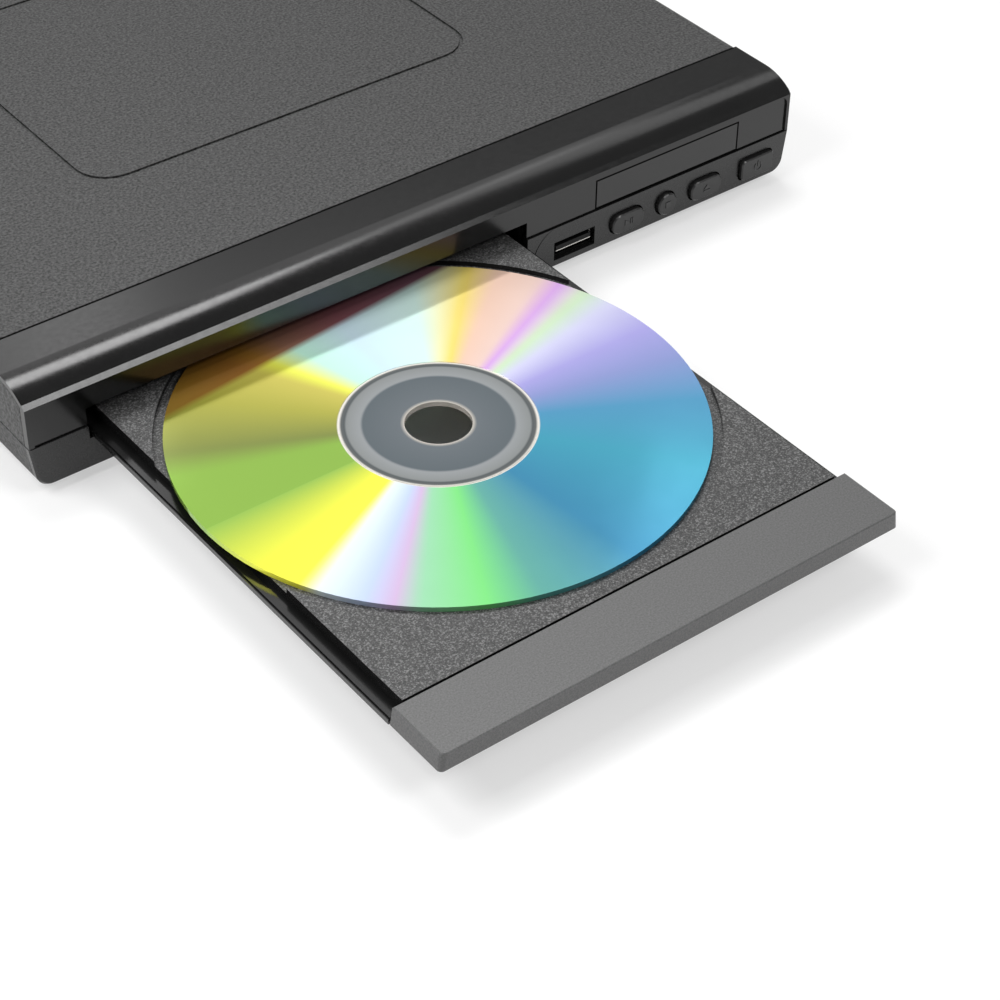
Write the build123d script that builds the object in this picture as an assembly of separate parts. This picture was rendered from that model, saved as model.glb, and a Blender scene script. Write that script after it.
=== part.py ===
from build123d import *
import os
from math import acos, atan2, cos, degrees, hypot, pi, radians, sin, tan

# Compact disc player with its tray out, in millimetres.
# Frame: X to the right seen from the front, Y to the back, Z up.  The origin is on the table,
# under the middle of the whole object, tray included.
os.makedirs("parts", exist_ok=True)

# ---------------------------------------------------------------- casing dimensions
BODY_W = 222.0          # casing width
BODY_D = 193.0          # casing depth, front face to back edge
FOOT_H = 2.5            # rubber foot below the casing
CASE_H = 26.1           # casing height
TRAY_TRAVEL = 128.9     # how far the tray slides in
JACK_OUT = 6.0          # how far the phono sleeves stand out behind the casing

LENGTH = TRAY_TRAVEL + BODY_D + JACK_OUT
FRONT_Y = -LENGTH / 2 + TRAY_TRAVEL     # plane of the front face
BACK_Y = FRONT_Y + BODY_D
HALF_W = BODY_W / 2
CASE_Z = FOOT_H                         # underside of the casing
TOP_Z = FOOT_H + CASE_H
DECK_Z = 15.6                           # top of the tray deck and of the disc
PARTING_Z = DECK_Z - 1.5                # joint between the upper and the lower casing
AXIS_X = -35.3                          # the disc's axis, left of the middle
CLOSED_Y = FRONT_Y + 82.1               # spindle, and disc centre with the tray in
OPEN_Y = CLOSED_Y - TRAY_TRAVEL         # disc centre with the tray out
GAP = 0.3                               # visible gap between mouldings

SKIN = 1.4              # thickness of the front mouldings
PROUD = 0.5             # how far the rim and the lower front stand out from the upper front face
WALL = 2.0              # side and top walls
FLOOR = 1.6             # bottom wall
FLOOR_Z = CASE_Z + FLOOR
SEAM_Y = FRONT_Y + 20.9                 # joint between the bullnose and the top cover
UPPER_EDGE = PARTING_Z + GAP / 2        # lower edge of the upper mouldings
LOWER_EDGE = PARTING_Z - GAP / 2        # upper edge of the lower mouldings

# bullnose: an arc that runs level into the cover and ends in a narrow bevel over the front
NOSE_R = 15.5
NOSE_Y = FRONT_Y + 9.4
BEVEL_LOW = (FRONT_Y - PROUD, DECK_Z + 9.1)
BEVEL_HIGH = (FRONT_Y + 0.5, DECK_Z + 10.2)
LEDGE_Z = DECK_Z + 9.0                  # top of the sunk front face
RIM_W, RIM_R = 1.4, 2.5                 # rim at the ends of the sunk face, rounding of its corners
END_CHAMFER = 0.5

DRAFT = 1.5                             # how much the lower casing draws in on each side
CORNER_R = 4.0                          # rounding of its bottom corners
TOP_R = 2.0                             # rounding of the top cover's long edges

OPENING_HALF = 61.0                     # tray opening
OPENING_TOP, OPENING_BOTTOM = DECK_Z + 3.0, DECK_Z - 5.0

WINDOW_X = (AXIS_X + 82.3, AXIS_X + 128.9)
WINDOW_TOP = DECK_Z + 6.9

PANEL_X = AXIS_X + 69.1                 # upper left end of the control panel
USB_X, USB_Z = AXIS_X + 75.7, DECK_Z - 8.5
USB_W, USB_H = 12.8, 5.2
BUTTON_Z = DECK_Z - 7.9
BUTTON_OUT, BUTTON_FIT = 1.2, 0.4       # out from the lower front, gap round each button
BUTTONS = {"play_button": 92.2, "stop_button": 105.0, "eject_button": 117.9, "power_button": 135.3}

GROOVE_W, GROOVE_D, GROOVE_R = 114.7, 90.0, 10.0    # engraved frame on the top cover
GROOVE_Y = FRONT_Y + 61.2 + GROOVE_D / 2
GROOVE_LINE, GROOVE_DEPTH = 1.0, 0.5

CASE_SCREW_X = 103.5
CASE_SCREW_Y = (FRONT_Y + 33.0, BACK_Y - 24.0)
FOOT_X, FOOT_R, FOOT_SEAT = 92.0, 6.5, 0.5
FOOT_Y = (FRONT_Y + 22.0, BACK_Y - 24.0)

# ---------------------------------------------------------------- back panel, sockets and boards
PANEL_BACK_Y = BACK_Y - 0.8             # outer face of the inset back panel
PANEL_FRONT_Y = PANEL_BACK_Y - 1.5
JACKS = {"video_jack_insert": 91.0, "left_audio_insert": 104.0, "right_audio_insert": 117.0}
JACK_Z = DECK_Z
JACK_R, JACK_ROOT_R, JACK_BORE_R = 4.15, 4.0, 3.6
JACK_PIN_R = 1.65                       # hole for the plug's pin
BOARD_Z = (-8.0, -6.4)                  # main board and power board, from the deck
HDMI_X, HDMI_W, HDMI_H = AXIS_X + 76.0, 14.6, 5.2
HDMI_Z = DECK_Z + BOARD_Z[1] + HDMI_H / 2
INLET_X, INLET_Z = AXIS_X + 134.4, DECK_Z - 1.4
INLET_W, INLET_H = 14.4, 7.8            # figure-of-eight mouth of the mains inlet
SWITCH_BOARD_Y = FRONT_Y + 12.2         # front face of the upright front board
SWITCH_FACE_Y = SWITCH_BOARD_Y - 4.3    # where each switch's plunger starts
FRONT_BOARD_X = (AXIS_X + 66.5, AXIS_X + 142.0)
MAIN_BOARD_POSTS = [(76, -26), (121, -26), (76, 78), (121, 78)]
POWER_BOARD_POSTS = [(130, -26), (138, 78)]

# ---------------------------------------------------------------- disc and tray, from the disc's axis
DISC_R, DISC_HOLE, DISC_T = 60.0, 7.5, 1.2
DECK_HALF = 56.9
DECK_FRONT, DECK_REAR = -65.4, 76.0
RAIL_HALF, RAIL_LEDGE, RAIL_STEP = 60.3, 59.9, 0.4
LIP_FRONT, LIP_REAR = -82.1, -65.8
LIP_HALF, LIP_FLARE, LIP_T = 59.5, 0.7, 4.4
LIP_TABS = (-36.0, 20.0)                # the deck's tabs that hold the front bar
RECESS_R, RECESS_FLOOR = 62.3, -1.25
TRAY_UNDER, TRAY_BOTTOM = -3.0, -4.6
WINDOW_HALF, WINDOW_REAR = 29.0, 63.0   # opening in the tray for spindle and pickup

# ---------------------------------------------------------------- rack and gears, from the spindle
RACK_MODULE, GEAR_MODULE = 1.0, 0.8
PINION_TEETH, WHEEL_TEETH, SMALL_TEETH = 14, 36, 12
PRESSURE = radians(20.0)
BACKLASH = 0.2
PINION_X, PINION_Y = 42.0, -60.9
RACK_X = PINION_X + RACK_MODULE * PINION_TEETH / 2      # the rack's pitch line
MESH_ANGLE = radians(19.0)
CENTRES = GEAR_MODULE * (WHEEL_TEETH + SMALL_TEETH) / 2
PULLEY_X = PINION_X + CENTRES * cos(MESH_ANGLE)
PULLEY_Y = PINION_Y + CENTRES * sin(MESH_ANGLE)
MOTOR_X, MOTOR_Y = 84.0, -46.0
POST_R, BORE_R = 1.5, 1.56
BELT_BIG_R, BELT_SMALL_R, BELT_T = 9.6, 2.4, 0.9        # the belt's inner line on each pulley
PULLEY_Z = (-8.9, -7.0)
WHEEL_Z = (-6.6, -5.1)
PINION_Z = (-5.1, -3.35)

# ---------------------------------------------------------------- loader, from the spindle
BASE_Z = (-10.6, -9.2)                  # base plate of the loader chassis
SIDE_IN, SIDE_OUT, SIDE_TOP = 61.2, 63.2, 5.0
CHASSIS_FRONT, CHASSIS_REAR = -79.0, 99.0
# The traverse is level when raised; at rest it hangs down about its rear pivots.
LIFT = 2.15                             # at the spindle
PIVOT_Y, PIVOT_Z = 93.1, -5.4
TILT = degrees(LIFT / PIVOT_Y)
SEAT_Z = -1.25                          # top of the turntable mat when raised
PLATE_Z = (-5.9, -4.9)
PIN_X, PIN_Z, PIN_R = 6.0, -4.55, 0.8
PIN_FRONT = -43.3                       # front end of the traverse's cam pin
CAM_Y = (-43.7, -39.8)
CAM_TRAVEL = 14.0
CAM_RISE = (PIVOT_Y - sum(CAM_Y) / 2) * LIFT / PIVOT_Y
LENS_Y = 24.0                           # objective lens at the inner end of its travel
ROD_X, ROD_Z, ROD_R = 22.0, -3.6, 1.25
ROD_Y = (14.0, 86.0)
SCREW_X, SCREW_Z, SCREW_R = 33.0, -5.4, 1.25
SCREW_Y = (13.0, 82.0)
SLED_MOTOR_Z, SLED_MOTOR_R = -4.8, 3.9
EAR_Z = (-10.6, -9.0)                   # screwed-down ears of the loader
EAR_PLACES = [(-68.0, -68.0), (-68.0, 70.0), (68.0, -20.0), (68.0, 70.0)]

AT_DISC = Pos(AXIS_X, OPEN_Y, DECK_Z)
AT_SPINDLE = Pos(AXIS_X, CLOSED_Y, DECK_Z)


# ---------------------------------------------------------------- helpers
def save(name, shape):
    export_step(shape, f"parts/{name}.step")


def area(x, y):
    """A rectangle given by its two ends along each axis."""
    return Pos((x[0] + x[1]) / 2, (y[0] + y[1]) / 2) * Rectangle(x[1] - x[0], y[1] - y[0])


def polygon(*points):
    return make_face(Polyline(*points, close=True))


def up(sketch, z0, z1):
    """Extrudes an X-Y sketch from z0 to z1."""
    return extrude(Plane.XY.offset(z0) * sketch, z1 - z0)


def along_x(sketch, x0, x1):
    """Extrudes a Y-Z sketch from x0 to x1."""
    return extrude(Plane.YZ.offset(x0) * sketch, x1 - x0)


def along_y(sketch, y0, y1):
    """Extrudes an X-Z sketch from y0 to y1."""
    plane = Plane(origin=(0, y1, 0), x_dir=(1, 0, 0), z_dir=(0, -1, 0))
    return extrude(plane * sketch, y1 - y0)


def block(x, y, z):
    return up(area(x, y), z[0], z[1])


def disk(radius, sides=12):
    """A small or hidden round, kept to a few flats."""
    return RegularPolygon(radius, sides)


def rounded(width, height, radius, steps=4):
    """A rectangle with its corners rounded in a few flats."""
    points = []
    for quarter in range(4):
        x = (width / 2 - radius) * (1 if quarter in (0, 3) else -1)
        y = (height / 2 - radius) * (1 if quarter < 2 else -1)
        for step in range(steps + 1):
            angle = (quarter + step / steps) * pi / 2
            points.append((x + radius * cos(angle), y + radius * sin(angle)))
    return polygon(*points)


def rod_z(x, y, z, radius, sides=12):
    return up(Pos(x, y) * disk(radius, sides), z[0], z[1])


def rod_y(x, z, y, radius, sides=12):
    return along_y(Pos(x, z) * disk(radius, sides), y[0], y[1])


def rod_x(y, z, x, radius, sides=12):
    return along_x(Pos(y, z) * disk(radius, sides), x[0], x[1])


def lowered(shape):
    """Puts a traverse piece, drawn level, where it hangs at rest."""
    hinge = Axis((AXIS_X, CLOSED_Y + PIVOT_Y, DECK_Z + PIVOT_Z), (1, 0, 0))
    return (AT_SPINDLE * shape).rotate(hinge, TILT)


def gear(module, teeth, phase):
    """Spur gear outline: straight facets through points of the involute, thinned by the backlash."""
    pitch = module * teeth / 2
    base = pitch * cos(PRESSURE)
    half_at_pitch = (pi * module / 2 - BACKLASH) / 2 / pitch + tan(PRESSURE) - PRESSURE
    flank = []
    for radius in (pitch - 1.25 * module, pitch, pitch + module):
        angle = acos(base / radius) if radius > base else 0.0
        flank.append((radius, half_at_pitch - (tan(angle) - angle)))
    points = []
    for tooth in range(teeth):
        middle = phase + 2 * pi * tooth / teeth
        points += [(r * cos(middle - half), r * sin(middle - half)) for r, half in flank]
        points += [(r * cos(middle + half), r * sin(middle + half)) for r, half in reversed(flank)]
    return polygon(*points)


# ---------------------------------------------------------------- casing
def nose_region(inset, front, low):
    """The Y-Z area under the bullnose, from the seam forward to front and down to low."""
    curve = Pos(NOSE_Y, TOP_Z - NOSE_R) * Circle(NOSE_R - inset)
    under = curve & area((front, NOSE_Y), (low, TOP_Z))
    return under + area((NOSE_Y, SEAM_Y), (low, TOP_Z - inset))


def front_bezel():
    """Bullnose and upper front face in one moulding, the face sunk inside a rim at both ends."""
    brow = FRONT_Y - PROUD
    outer = nose_region(0, brow, UPPER_EDGE)
    outer -= polygon(BEVEL_LOW, BEVEL_HIGH, (brow - 1, BEVEL_HIGH[1] + 1), (brow - 1, BEVEL_LOW[1]))
    bezel = along_x(outer, -HALF_W, HALF_W)
    for end in (bezel.faces().sort_by(Axis.X)[0], bezel.faces().sort_by(Axis.X)[-1]):
        front_edges = [e for e in end.edges() if e.center().Y < NOSE_Y and e.center().Z > UPPER_EDGE + 1]
        bezel = chamfer(front_edges, END_CHAMFER)
    bezel -= along_x(nose_region(SKIN, FRONT_Y + SKIN, UPPER_EDGE - 1), -HALF_W - 1, HALF_W + 1)
    recess_h = 14.0
    recess = Pos(0, LEDGE_Z - recess_h / 2) * rounded(2 * (HALF_W - RIM_W), recess_h, RIM_R)
    bezel -= along_y(recess, brow - 1, FRONT_Y)
    through = (FRONT_Y - 1, FRONT_Y + SKIN + 1)
    opening = (AXIS_X - OPENING_HALF, AXIS_X + OPENING_HALF)
    bezel -= block(opening, through, (UPPER_EDGE - 1, OPENING_TOP))
    bezel -= block(WINDOW_X, through, (UPPER_EDGE - 1, WINDOW_TOP))
    # two posts behind the face locate the front board
    for x in (AXIS_X + 72, AXIS_X + 140):
        bezel += rod_y(x, DECK_Z + 4, (FRONT_Y + SKIN, SWITCH_BOARD_Y), 2.2, 12)
    return bezel


def display_window():
    """Tinted window, flush with the front face, with a flange behind it."""
    fit = 0.15
    face = area((WINDOW_X[0] + fit, WINDOW_X[1] - fit), (UPPER_EDGE, WINDOW_TOP - fit))
    flange = area((WINDOW_X[0] - 1.5, WINDOW_X[1] + 1.5), (UPPER_EDGE, WINDOW_TOP + 0.6))
    return along_y(face, FRONT_Y, FRONT_Y + SKIN) + along_y(flange, FRONT_Y + SKIN, FRONT_Y + SKIN + 0.8)


def cover_section(inset, low):
    """X-Z outline of the upper casing, rounded along its top edges."""
    half = HALF_W - inset
    outline = area((-half, half), (low, TOP_Z - inset))
    return fillet(outline.vertices().group_by(Axis.Y)[-1], TOP_R if inset == 0 else TOP_R / 2)


def top_cover():
    """Textured cover: top, side walls with front cheeks, engraved frame, four screw bosses."""
    start = SEAM_Y + GAP
    section = cover_section(0, UPPER_EDGE) - cover_section(WALL, UPPER_EDGE - 1)
    cover = along_y(section, start, BACK_Y)
    fit = 0.2
    cheek = nose_region(SKIN + fit, FRONT_Y + SKIN + fit, UPPER_EDGE)
    cheek += area((SEAM_Y, start), (UPPER_EDGE, TOP_Z - SKIN - fit))
    for side in (-1, 1):
        x0, x1 = sorted((side * (HALF_W - WALL), side * HALF_W))
        cover += along_x(cheek, x0, x1)
    # tongue under the bullnose's rear edge
    tongue_z = (TOP_Z - WALL - 0.8, TOP_Z - SKIN - 0.1)
    cover += block((-HALF_W + 8, HALF_W - 8), (SEAM_Y - 3, start + 1.5), tongue_z)
    outer = rounded(GROOVE_W, GROOVE_D, GROOVE_R, 5)
    inner = rounded(GROOVE_W - 2 * GROOVE_LINE, GROOVE_D - 2 * GROOVE_LINE, GROOVE_R - GROOVE_LINE, 5)
    cover -= Pos(0, GROOVE_Y, 0) * up(outer - inner, TOP_Z - GROOVE_DEPTH, TOP_Z + 1)
    for side in (-1, 1):
        for y in CASE_SCREW_Y:
            cover += rod_z(side * CASE_SCREW_X, y, (UPPER_EDGE - 1, TOP_Z - WALL + 0.5), 2.6, 8)
            cover -= rod_z(side * CASE_SCREW_X, y, (UPPER_EDGE - 2, TOP_Z - WALL - 3), 1.2, 6)
    return cover


def lower_section(inset, low):
    """X-Z outline of the lower casing, drawn in towards the bottom."""
    top, bottom = HALF_W - inset, HALF_W - DRAFT - inset
    outline = polygon((-top, LOWER_EDGE), (-bottom, low), (bottom, low), (top, LOWER_EDGE))
    return fillet(outline.vertices().group_by(Axis.Y)[0], CORNER_R - inset)


def bottom_case():
    """Lower casing: floor with vents, drafted side walls, bosses for screws, boards and loader."""
    case = along_y(lower_section(0, CASE_Z) - lower_section(WALL, FLOOR_Z), FRONT_Y + SKIN, BACK_Y)
    vents = [Pos(x, y) * Rectangle(2.4, 26.0) for x in range(46, 98, 10) for y in (BACK_Y - 95, BACK_Y - 60)]
    case -= up(Sketch() + vents, CASE_Z - 1, FLOOR_Z + 1)
    for side in (-1, 1):
        for y in CASE_SCREW_Y:
            case += rod_z(side * CASE_SCREW_X, y, (CASE_Z + 1, UPPER_EDGE - 1), 3.4, 8)
            case -= rod_z(side * CASE_SCREW_X, y, (CASE_Z - 1, PARTING_Z), 1.6, 6)
            case -= rod_z(side * CASE_SCREW_X, y, (CASE_Z - 1, CASE_Z + 2.6), 2.9, 8)
        for y in FOOT_Y:
            case -= rod_z(side * FOOT_X, y, (CASE_Z - 1, CASE_Z + FOOT_SEAT), FOOT_R)
    for x, y in EAR_PLACES:
        case += AT_SPINDLE * rod_z(x, y, (FLOOR_Z - DECK_Z - 0.5, EAR_Z[0]), 3.0, 6)
        case -= AT_SPINDLE * rod_z(x, y, (FLOOR_Z - DECK_Z, EAR_Z[0] + 1), 0.9, 6)
    for x, y in MAIN_BOARD_POSTS + POWER_BOARD_POSTS:
        case += AT_SPINDLE * rod_z(x, y, (FLOOR_Z - DECK_Z - 0.5, BOARD_Z[0]), 2.6, 6)
        case -= AT_SPINDLE * rod_z(x, y, (FLOOR_Z - DECK_Z, BOARD_Z[0] + 1), 1.0, 6)
    return case


def panel_region(grow):
    """X-Z area of the control panel, whose left end curves away from under the tray."""
    top, bottom = LOWER_EDGE + 1, CASE_Z - 1
    start = (PANEL_X - grow, LOWER_EDGE)
    middle = (PANEL_X - 3.7 - grow, DECK_Z - 3.9)
    end = (PANEL_X - 5.7 - grow, DECK_Z - 7.2)
    foot = (PANEL_X - 6.5 - grow, bottom)
    edges = Polyline(end, foot, (HALF_W + 1, bottom), (HALF_W + 1, top), (start[0], top), start)
    return make_face(ThreePointArc(start, middle, end) + edges)


def lower_front(region_keeps):
    """The lower front face, kept inside or outside the control panel's area."""
    face = along_y(lower_section(0, CASE_Z), FRONT_Y - PROUD, FRONT_Y + SKIN)
    face = chamfer(face.faces().sort_by(Axis.Y)[0].edges().sort_by(Axis.Z)[:-1], 0.5)
    opening = (AXIS_X - OPENING_HALF, AXIS_X + OPENING_HALF)
    face -= block(opening, (FRONT_Y - 1, FRONT_Y + SKIN + 1), (OPENING_BOTTOM, LOWER_EDGE + 1))
    if region_keeps:
        return face & along_y(panel_region(0), FRONT_Y - 1, FRONT_Y + SKIN + 1)
    return face - along_y(panel_region(GAP), FRONT_Y - 1, FRONT_Y + SKIN + 1)


def button_outline(name, grow):
    """X-Z outline of a button: round, oval, or a rounded rectangle for power."""
    place = Pos(AXIS_X + BUTTONS[name], BUTTON_Z)
    if name == "stop_button":
        return place * disk(3.0 + grow, 24)
    if name == "power_button":
        return place * rounded(10.8 + 2 * grow, 5.8 + 2 * grow, 1.2 + grow, 3)
    return place * rounded(10.2 + 2 * grow, 5.4 + 2 * grow, 2.4 + grow, 5)


def control_panel():
    """Lower right front face with the cut-outs for the socket and the buttons."""
    panel = lower_front(True)
    through = (FRONT_Y - 1, FRONT_Y + SKIN + 1)
    usb = Pos(USB_X, USB_Z) * Rectangle(USB_W, USB_H)
    panel -= along_y(usb, *through)
    for name in BUTTONS:
        panel -= along_y(button_outline(name, BUTTON_FIT), *through)
    return panel


def button(name):
    """Button cap with a retaining flange behind the panel and a stem towards its switch."""
    x = AXIS_X + BUTTONS[name]
    flange_y = FRONT_Y + SKIN + 0.1
    cap = along_y(button_outline(name, 0), FRONT_Y - PROUD - BUTTON_OUT, flange_y + 0.4)
    cap = chamfer(cap.faces().sort_by(Axis.Y)[0].edges(), 0.3)
    above_floor = area((-HALF_W, HALF_W), (FLOOR_Z + 0.3, PARTING_Z))
    flange = along_y(button_outline(name, 0.9) & above_floor, flange_y, flange_y + 0.8)
    stem = along_y(Pos(x, BUTTON_Z) * Rectangle(2.4, 2.4), flange_y + 0.8, SWITCH_FACE_Y - 0.7)
    return cap + flange + stem


def feet():
    """Rubber feet seated in shallow recesses, hollowed underneath."""
    pads = []
    for side in (-1, 1):
        for y in FOOT_Y:
            pad = rod_z(side * FOOT_X, y, (0, FOOT_H + FOOT_SEAT), FOOT_R)
            pads.append(pad - rod_z(side * FOOT_X, y, (-1, 0.8), FOOT_R - 2.5))
    return Compound(children=pads)


# ---------------------------------------------------------------- back panel and sockets
def rear_panel():
    """Inset back plate with the socket cut-outs and two rows of vent slots."""
    outline = cover_section(WALL, PARTING_Z) + lower_section(WALL, FLOOR_Z)
    outline += area((-HALF_W + WALL + 0.2, HALF_W - WALL - 0.2), (LOWER_EDGE - 0.5, PARTING_Z))
    outline -= Pos(HDMI_X, HDMI_Z) * Rectangle(HDMI_W, HDMI_H)
    outline -= Pos(INLET_X, INLET_Z) * rounded(17.0, 10.4, 1.0, 2)
    outline -= [Pos(AXIS_X + x, JACK_Z) * disk(JACK_R + 0.3, 16) for x in JACKS.values()]
    outline -= [Pos(x, DECK_Z) * Rectangle(2.0, 14.0) for x in range(-90, 20, 9)]
    return along_y(outline, PANEL_FRONT_Y, PANEL_BACK_Y)


def av_jack_housing():
    """Moulded block behind the back plate that carries the three phono sockets."""
    z0, z1 = DECK_Z + BOARD_Z[1], JACK_Z + 6.0
    body = block((AXIS_X + 84.5, AXIS_X + 123.5), (PANEL_FRONT_Y - 10, PANEL_FRONT_Y), (z0, z1))
    body = chamfer(body.edges().filter_by(Axis.Y).group_by(Axis.Z)[-1], 1.0)
    for x in JACKS.values():
        body -= rod_y(AXIS_X + x, JACK_Z, (PANEL_FRONT_Y - 8, PANEL_FRONT_Y + 1), JACK_ROOT_R, 16)
    return body


def av_jack_sleeves():
    """Outer contacts of the phono sockets."""
    sleeves = []
    for x in JACKS.values():
        tube = rod_y(AXIS_X + x, JACK_Z, (PANEL_FRONT_Y - 8, PANEL_BACK_Y), JACK_ROOT_R, 16)
        tube += rod_y(AXIS_X + x, JACK_Z, (PANEL_BACK_Y, BACK_Y + JACK_OUT), JACK_R, 16)
        bore_y = (PANEL_FRONT_Y - 7, BACK_Y + JACK_OUT + 1)
        sleeves.append(tube - rod_y(AXIS_X + x, JACK_Z, bore_y, JACK_BORE_R, 16))
    return Compound(children=sleeves)


def jack_insert(name):
    """Coloured insulator inside a phono sleeve, with the hole for the plug's pin."""
    x = AXIS_X + JACKS[name]
    insert = rod_y(x, JACK_Z, (PANEL_FRONT_Y - 7, BACK_Y + JACK_OUT - 0.6), JACK_BORE_R, 16)
    hole = Pos(x, JACK_Z) * Circle(JACK_PIN_R)
    return insert - along_y(hole, PANEL_FRONT_Y - 2, BACK_Y + JACK_OUT + 1)


def socket_shell(width, height, wall, y0, y1, closed_y):
    """Folded metal shell of a plug-in socket, open at one end and closed at closed_y."""
    outer = rounded(width + 2 * wall, height + 2 * wall, 0.6, 2)
    inner = rounded(width, height, 0.4, 2)
    shell = along_y(outer - inner, y0, y1)
    return shell + along_y(outer, min(closed_y, closed_y + wall), max(closed_y, closed_y + wall))


def usb_shell():
    shell = socket_shell(12.5, 5.12, 0.3, FRONT_Y + SKIN, SWITCH_BOARD_Y - 0.3, SWITCH_BOARD_Y - 0.3)
    return Pos(USB_X, 0, USB_Z) * shell


def usb_tongue():
    """Plastic tongue in the upper half of the socket, with a thick root at the board."""
    tongue = block((-5.6, 5.6), (FRONT_Y + SKIN + 0.2, SWITCH_BOARD_Y - 0.3), (-0.35, 1.3))
    root = block((-5.8, 5.8), (SWITCH_BOARD_Y - 3.3, SWITCH_BOARD_Y - 0.3), (-2.56, 2.56))
    return Pos(USB_X, 0, USB_Z) * (tongue + root)


def hdmi_shell():
    """Metal shell with the two lower corners drawn in, open at the back."""
    half_w, half_h = HDMI_W / 2, HDMI_H / 2

    def outline(inset):
        w, h = half_w - inset, half_h - inset
        return polygon((-w, h), (-w, -0.6), (-w + 1.8, -h), (w - 1.8, -h), (w, -0.6), (w, h))

    mouth = along_y(outline(0) - outline(0.35), PANEL_FRONT_Y - 9, BACK_Y)
    back = along_y(outline(0), PANEL_FRONT_Y - 9.4, PANEL_FRONT_Y - 9)
    return Pos(HDMI_X, 0, HDMI_Z) * (mouth + back)


def hdmi_tongue():
    tongue = block((-5.6, 5.6), (PANEL_FRONT_Y - 9, BACK_Y - 1.2), (-0.2, 0.9))
    root = block((-5.0, 5.0), (PANEL_FRONT_Y - 9, PANEL_FRONT_Y - 6), (-2.2, 2.2))
    return Pos(HDMI_X, 0, HDMI_Z) * (tongue + root)


def figure_eight(width, height):
    lobe = (width - height) / 2
    circles = Pos(-lobe, 0) * disk(height / 2) + Pos(lobe, 0) * disk(height / 2)
    return circles + Rectangle(2 * lobe, height * 0.78)


def power_inlet():
    """Two-pin mains inlet: housing with a figure-of-eight mouth, flush with the back plate."""
    housing = along_y(rounded(16.6, 10.0, 1.0, 2), PANEL_FRONT_Y - 14, PANEL_BACK_Y)
    housing += along_y(rounded(16.6, 13.0, 1.0, 2), PANEL_FRONT_Y - 1.6, PANEL_FRONT_Y)
    mouth = along_y(figure_eight(INLET_W, INLET_H), PANEL_BACK_Y - 11, PANEL_BACK_Y + 1)
    return Pos(INLET_X, 0, INLET_Z) * (housing - mouth)


def inlet_pins():
    pins = [rod_y(INLET_X + x, INLET_Z, (PANEL_BACK_Y - 11, PANEL_BACK_Y - 1.5), 1.2) for x in (-3.3, 3.3)]
    return Compound(children=pins)


# ---------------------------------------------------------------- boards
def front_board():
    """Upright board behind the controls, standing on the casing's floor."""
    right = FRONT_BOARD_X[1]
    outline = area(FRONT_BOARD_X, (FLOOR_Z, LEDGE_Z - 1.0)) - area((right - 4, right), (FLOOR_Z, FLOOR_Z + 4))
    return along_y(outline, SWITCH_BOARD_Y, SWITCH_BOARD_Y + 1.6)


def tact_switches():
    """One push switch behind each button."""
    switches = []
    for x in BUTTONS.values():
        place = Pos(AXIS_X + x, BUTTON_Z)
        body = along_y(place * Rectangle(6.0, 6.0), SWITCH_BOARD_Y - 3.5, SWITCH_BOARD_Y)
        switches.append(body + along_y(place * disk(1.75, 8), SWITCH_FACE_Y, SWITCH_BOARD_Y - 3.5))
    return Compound(children=switches)


def display_module():
    """Four-digit display block behind the window."""
    module = block((AXIS_X + 86, AXIS_X + 117), (FRONT_Y + 6.0, SWITCH_BOARD_Y), (DECK_Z - 0.9, DECK_Z + 6.3))
    for digit in range(4):
        x = AXIS_X + 89.9 + 7.7 * digit
        module -= block((x - 2.4, x + 2.4), (FRONT_Y + 5, FRONT_Y + 6.3), (DECK_Z - 0.2, DECK_Z + 5.6))
    return module


def remote_receiver():
    body = block((AXIS_X + 120, AXIS_X + 126), (SWITCH_BOARD_Y - 4, SWITCH_BOARD_Y), (DECK_Z - 0.6, DECK_Z + 6.0))
    return body + rod_y(AXIS_X + 123, DECK_Z + 2.8, (SWITCH_BOARD_Y - 5.8, SWITCH_BOARD_Y - 4), 2.2)


def board(x, y, holes):
    plate = up(area(x, y) - [Pos(*hole) * disk(1.3, 6) for hole in holes], *BOARD_Z)
    return AT_SPINDLE * plate


def main_board():
    return board((72.5, 124.5), (-30.0, 107.5), MAIN_BOARD_POSTS)


def power_board():
    return board((126.5, 142.4), (-30.0, 83.0), POWER_BOARD_POSTS)


def chips():
    """Decoder, memory, audio amplifier and regulator packages on the main board."""
    places = [(92, 30, 20, 20, 1.5), (112, 34, 8, 12, 1.2), (80, 62, 9, 6, 1.2), (108, 60, 6, 6, 1.4),
              (80, 4, 6, 9, 2.2)]
    packages = []
    for x, y, w, d, h in places:
        packages.append(block((x - w / 2, x + w / 2), (y - d / 2, y + d / 2), (BOARD_Z[1], BOARD_Z[1] + h)))
    return AT_SPINDLE * Compound(children=packages)


def capacitors():
    """Electrolytic capacitors on both boards."""
    places = [(96, -8, 3.2, 8.0), (106, -8, 3.2, 8.0), (116, 8, 2.5, 6.0), (100, 78, 2.5, 6.0), (134, 68, 5.0, 13.0)]
    cans = []
    for x, y, r, h in places:
        can = rod_z(x, y, (BOARD_Z[1], BOARD_Z[1] + h), r, 8)
        cans.append(chamfer(can.faces().sort_by(Axis.Z)[-1].edges(), 0.4))
    return AT_SPINDLE * Compound(children=cans)


def transformer():
    """Switching transformer: ferrite core round a wound bobbin."""
    z0 = BOARD_Z[1]
    core = block((127.5, 141.5), (22, 38), (z0 + 1, z0 + 13))
    core -= block((126, 131), (24.5, 35.5), (z0, z0 + 14)) + block((138, 143), (24.5, 35.5), (z0, z0 + 14))
    bobbin = block((128.5, 140.5), (24.5, 35.5), (z0, z0 + 12))
    return AT_SPINDLE * (core + bobbin)


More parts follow.
